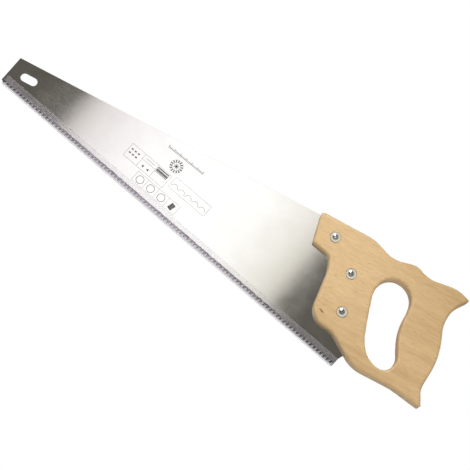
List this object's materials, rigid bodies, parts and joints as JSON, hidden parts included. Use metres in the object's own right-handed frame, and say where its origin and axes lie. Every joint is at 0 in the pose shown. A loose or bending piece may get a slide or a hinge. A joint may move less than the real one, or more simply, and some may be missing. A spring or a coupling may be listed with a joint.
{
  "type": "hand saw",
  "caption": "Panel hand saw: a tapered steel blade with a hang slot at its toe, held by saw screws in a closed wooden handle, with a clear plastic guard strip over the teeth.",
  "frame": {"origin": "middle of the hand grip, in the blade's middle plane", "axes": "+X along the tooth line from the toe to the handle, +Z from the teeth to the back, +Y through the thickness towards the nuts; the screw heads are on -Y"},
  "size_m": [0.5483, 0.0252, 0.1458],
  "materials": {
    "blade_steel": "polished sheet steel with blued, hardened tooth tips",
    "guard_plastic": "clear extruded plastic with a slight lilac tint",
    "handle_wood": "pale beech under a thin satin lacquer",
    "screw_metal": "bright nickel plate"
  },
  "bodies": {
    "saw": {"blade": "blade_steel", "handle": "handle_wood", "screw_upper": "screw_metal", "screw_middle": "screw_metal", "screw_lower": "screw_metal", "nut_upper": "screw_metal", "nut_middle": "screw_metal", "nut_lower": "screw_metal"},
    "guard": {"tooth_guard": "guard_plastic"}
  },
  "joints": [
    {"name": "guard_pull", "type": "slide", "parent": "saw", "child": "guard", "axis": [0, 0, -1], "range_m": [0, 0.02]}
  ]
}
